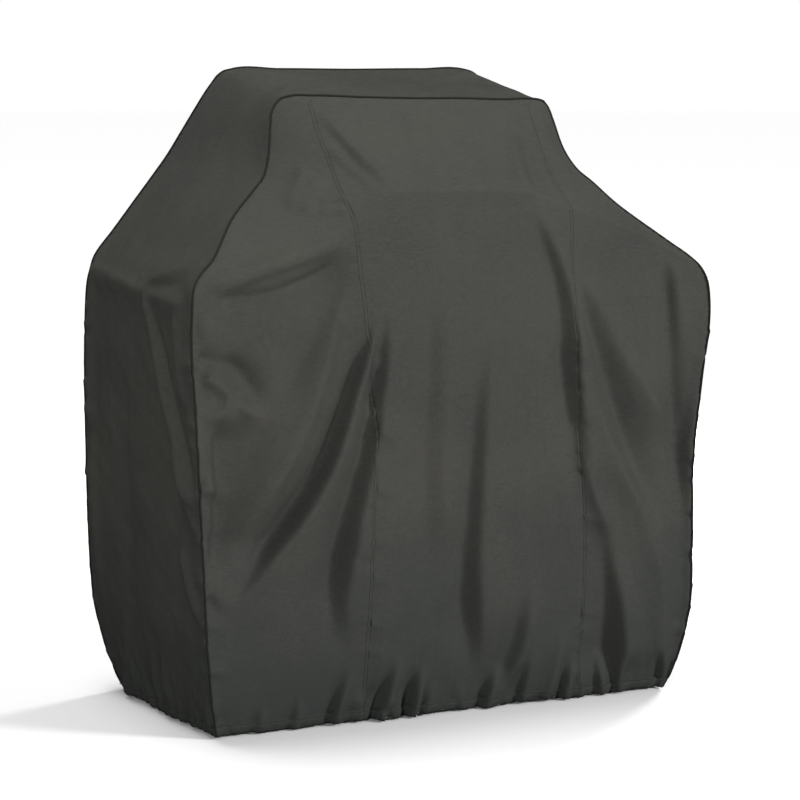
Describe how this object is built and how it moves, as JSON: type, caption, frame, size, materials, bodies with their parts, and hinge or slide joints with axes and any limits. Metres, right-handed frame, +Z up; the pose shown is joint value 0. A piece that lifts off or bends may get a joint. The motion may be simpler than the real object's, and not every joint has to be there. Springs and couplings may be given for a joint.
{
  "type": "grill cover",
  "caption": "Fitted fabric cover for a cart grill: peaked hood section, sloped shoulders over the side shelves, piped edges and an elasticated open hem.",
  "frame": {"origin": "middle of the open hem, on the plane that the hem rests on", "axes": "+X to the right shelf as seen from the front, +Y to the back, +Z up; the front faces -Y"},
  "size_m": [1.0294, 0.5396, 1.1795],
  "materials": {
    "cloth": "coated woven polyester, dark charcoal with a faint olive cast, soft sheen",
    "cloth_lining": "coated woven polyester, folded hem channel",
    "piping_strip": "bias strip, near black, slightly glossier than the cloth",
    "piping_core": "braided filler cord, undyed, hidden",
    "binding_tape": "ribbed polyester tape, black",
    "thread": "polyester sewing thread, black",
    "elastic": "flat knitted elastic, black"
  },
  "bodies": {
    "root": {"back_centre_panel": "cloth", "back_left_panel": "cloth", "back_left_seam_tape": "binding_tape", "back_left_topstitch": "thread", "back_piping_cord": "piping_core", "back_piping_cover": "piping_strip", "back_right_panel": "cloth", "back_right_seam_tape": "binding_tape", "back_right_topstitch": "thread", "back_seam_binding": "binding_tape", "elastic_bar_tacks": "thread", "front_centre_panel": "cloth", "front_left_panel": "cloth", "front_left_seam_tape": "binding_tape", "front_left_topstitch": "thread", "front_piping_cord": "piping_core", "front_piping_cover": "piping_strip", "front_right_panel": "cloth", "front_right_seam_tape": "binding_tape", "front_right_topstitch": "thread", "front_seam_binding": "binding_tape", "hem_channel_strip": "cloth_lining", "hem_elastic": "elastic", "hem_stitching": "thread", "top_and_ends_panel": "cloth"}
  },
  "joints": []
}
